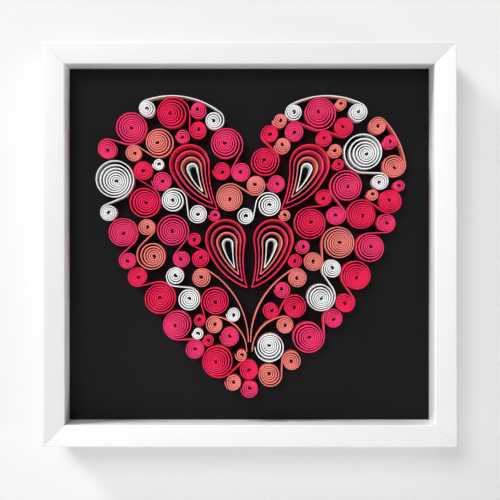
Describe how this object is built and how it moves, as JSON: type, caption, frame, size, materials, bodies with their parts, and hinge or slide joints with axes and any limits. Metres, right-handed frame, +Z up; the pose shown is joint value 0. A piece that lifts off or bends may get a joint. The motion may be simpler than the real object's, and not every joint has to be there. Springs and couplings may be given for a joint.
{
  "type": "quilled paper art in a box frame",
  "caption": "Heart of rolled and curled paper strips on black card inside a deep white box frame with mitred corners, back panel and sawtooth hanger.",
  "frame": {"origin": "middle of the frame's underside, at the centre of the object's footprint", "axes": "+Z up, +X to the right along the width for a viewer in front, the picture faces -Y, +Y towards the wall"},
  "size_m": [0.2554, 0.034, 0.25],
  "materials": {
    "black_card": "matt black",
    "coral_paper": "matt",
    "frame_lacquer": "white satin lacquer",
    "panel_board": "bare hardboard",
    "pink_paper": "matt",
    "plated_steel": "zinc plated",
    "rose_paper": "matt",
    "white_paper": "matt"
  },
  "bodies": {
    "root": {"back_panel": "panel_board", "backing_card": "black_card", "coral_arch_right_shoulder": "coral_paper", "coral_drop_lobe_left_3": "coral_paper", "coral_drop_lobe_right_3": "coral_paper", "coral_drop_middle_left_3": "coral_paper", "coral_drop_middle_right_3": "coral_paper", "coral_inner_stem_left": "coral_paper", "coral_inner_stem_right": "coral_paper", "coral_outer_stem_left": "coral_paper", "coral_outer_stem_right": "coral_paper", "coral_scroll_11": "coral_paper", "coral_scroll_21": "coral_paper", "hanger_nails": "plated_steel", "pink_drop_lobe_left_1": "pink_paper", "pink_drop_lobe_right_1": "pink_paper", "pink_drop_middle_left_1": "pink_paper", "pink_drop_middle_right_1": "pink_paper", "pink_scroll_04": "pink_paper", "pink_scroll_05": "pink_paper", "pink_scroll_08": "pink_paper", "pink_scroll_10": "pink_paper", "pink_scroll_14": "pink_paper", "pink_scroll_17": "pink_paper", "pink_scroll_18": "pink_paper", "pink_scroll_20": "pink_paper", "rail_bottom": "frame_lacquer", "rail_left": "frame_lacquer", "rail_right": "frame_lacquer", "rail_top": "frame_lacquer", "retaining_tabs": "plated_steel", "rose_drop_lobe_left_2": "rose_paper", "rose_drop_lobe_right_2": "rose_paper", "rose_drop_middle_left_2": "rose_paper", "rose_drop_middle_right_2": "rose_paper", "rose_scroll_03": "rose_paper", "rose_scroll_06": "rose_paper", "rose_scroll_07": "rose_paper", "rose_scroll_09": "rose_paper", "rose_scroll_12": "rose_paper", "rose_scroll_13": "rose_paper", "rose_scroll_15": "rose_paper", "rose_scroll_16": "rose_paper", "rose_scroll_19": "rose_paper", "rose_tip_coil": "rose_paper", "sawtooth_hanger": "plated_steel", "small_coral_coils": "coral_paper", "small_pink_coils": "pink_paper", "small_rose_coils": "rose_paper", "small_white_coils": "white_paper", "white_arch_left": "white_paper", "white_arch_right": "white_paper", "white_drop_lobe_left_4": "white_paper", "white_drop_lobe_right_4": "white_paper", "white_drop_middle_left_4": "white_paper", "white_drop_middle_right_4": "white_paper", "white_scroll_01": "white_paper", "white_scroll_02": "white_paper", "white_scroll_22": "white_paper", "white_scroll_23": "white_paper"}
  },
  "joints": []
}
